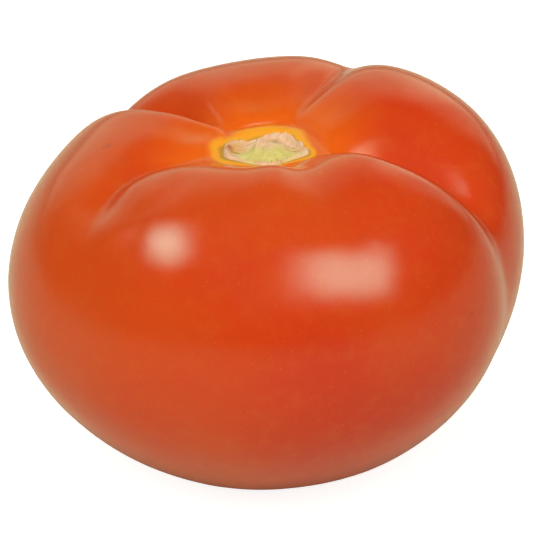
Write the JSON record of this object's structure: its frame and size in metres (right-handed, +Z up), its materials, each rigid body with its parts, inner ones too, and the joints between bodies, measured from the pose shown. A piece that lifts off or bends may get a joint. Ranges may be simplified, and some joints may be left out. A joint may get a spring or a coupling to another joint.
{
  "type": "tomato",
  "caption": "Ripe red beef tomato, broad and flattened, with deep furrows between its lobes round a sunken corky stem scar; rests on a small flat spot.",
  "frame": {"origin": "middle of the flat spot that the fruit rests on", "axes": "+Z up, from the flat spot towards the stem scar; -Y to the front and +X to the right, as the picture sees the fruit"},
  "size_m": [0.0881, 0.0888, 0.0636],
  "materials": {
    "skin": "thin waxy tomato skin, orange-red, clear gloss over fine pale speckles, yellow-orange towards the stem scar",
    "cork": "dry cream cork of the stem scar, rough and cracked, greenish in the middle"
  },
  "bodies": {
    "root": {"tomato": "skin"}
  },
  "joints": []
}
